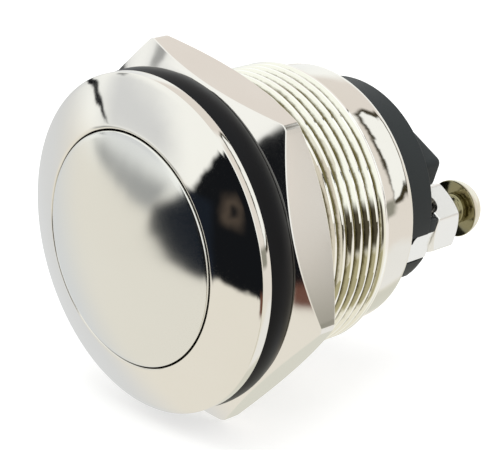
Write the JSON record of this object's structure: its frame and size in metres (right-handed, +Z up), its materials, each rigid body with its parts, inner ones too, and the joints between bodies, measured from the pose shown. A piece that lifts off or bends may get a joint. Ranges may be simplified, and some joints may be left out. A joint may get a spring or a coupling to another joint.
{
  "type": "domed push button switch",
  "caption": "Domed metal momentary push button for starting an engine: threaded barrel, rubber gasket, hex nut and screw terminals on a moulded base.",
  "frame": {"origin": "on the button axis at the panel seat, the rear face of the gasket, where the front of the panel lies", "axes": "+Y along the button axis from the domed head to the terminals, +Z up, +X to the right seen from the front"},
  "size_m": [0.0282, 0.0322, 0.0282],
  "materials": {
    "polished_nickel": "polished nickel plate, mirror bright and slightly warm",
    "satin_nickel": "nickel plate with a fine turned grain, softer than the bezel",
    "nut_nickel": "bright nickel plate on a turned hex nut",
    "terminal_nickel": "bright plate on the stamped brass strip and the small blocks",
    "screw_nickel": "bright nickel plate, slightly brassy",
    "gasket_rubber": "satin black rubber",
    "seal_rubber": "matte black rubber",
    "base_plastic": "matte black moulding with a fine grain",
    "plunger_plastic": "natural acetal moulding",
    "spring_steel": "drawn spring wire",
    "contact_brass": "stamped brass strip",
    "contact_silver": "silver contact rivet"
  },
  "bodies": {
    "housing": {"bezel_barrel": "polished_nickel", "terminal_base": "base_plastic", "base_seal": "seal_rubber", "terminal_right": "terminal_nickel", "terminal_left": "terminal_nickel", "terminal_block_right": "terminal_nickel", "terminal_block_left": "terminal_nickel", "fixed_contact_right": "contact_silver", "fixed_contact_left": "contact_silver", "panel_gasket": "gasket_rubber", "return_spring": "spring_steel"},
    "button": {"button_cap": "satin_nickel", "cap_seal": "seal_rubber", "retaining_ring": "spring_steel", "plunger": "plunger_plastic", "contact_spring": "spring_steel"},
    "bridge": {"contact_bridge": "contact_brass", "moving_contact_right": "contact_silver", "moving_contact_left": "contact_silver"},
    "nut": {"panel_nut": "nut_nickel"},
    "screw_right": {"terminal_screw_right": "screw_nickel"},
    "screw_left": {"terminal_screw_left": "screw_nickel"}
  },
  "joints": [
    {"name": "button_press", "type": "slide", "parent": "housing", "child": "button", "axis": [0, 1, 0], "range_m": [0, 0.0026], "stiffness_N_per_m": 900, "springref_m": -0.0017, "deforming": ["return_spring"]},
    {"name": "bridge_follow", "type": "slide", "parent": "housing", "child": "bridge", "axis": [0, 1, 0], "range_m": [0, 0.002], "deforming": ["contact_spring"]},
    {"name": "nut_travel", "type": "slide", "parent": "housing", "child": "nut", "axis": [0, 1, 0], "range_m": [0, 0.0072]},
    {"name": "screw_right_travel", "type": "slide", "parent": "housing", "child": "screw_right", "axis": [0, -1, 0], "range_m": [0, 0.00196]},
    {"name": "screw_left_travel", "type": "slide", "parent": "housing", "child": "screw_left", "axis": [0, -1, 0], "range_m": [0, 0.00196]}
  ],
  "couplings": [
    {"joint": "bridge_follow", "follows": "button_press", "ratio": 0.7692}
  ]
}
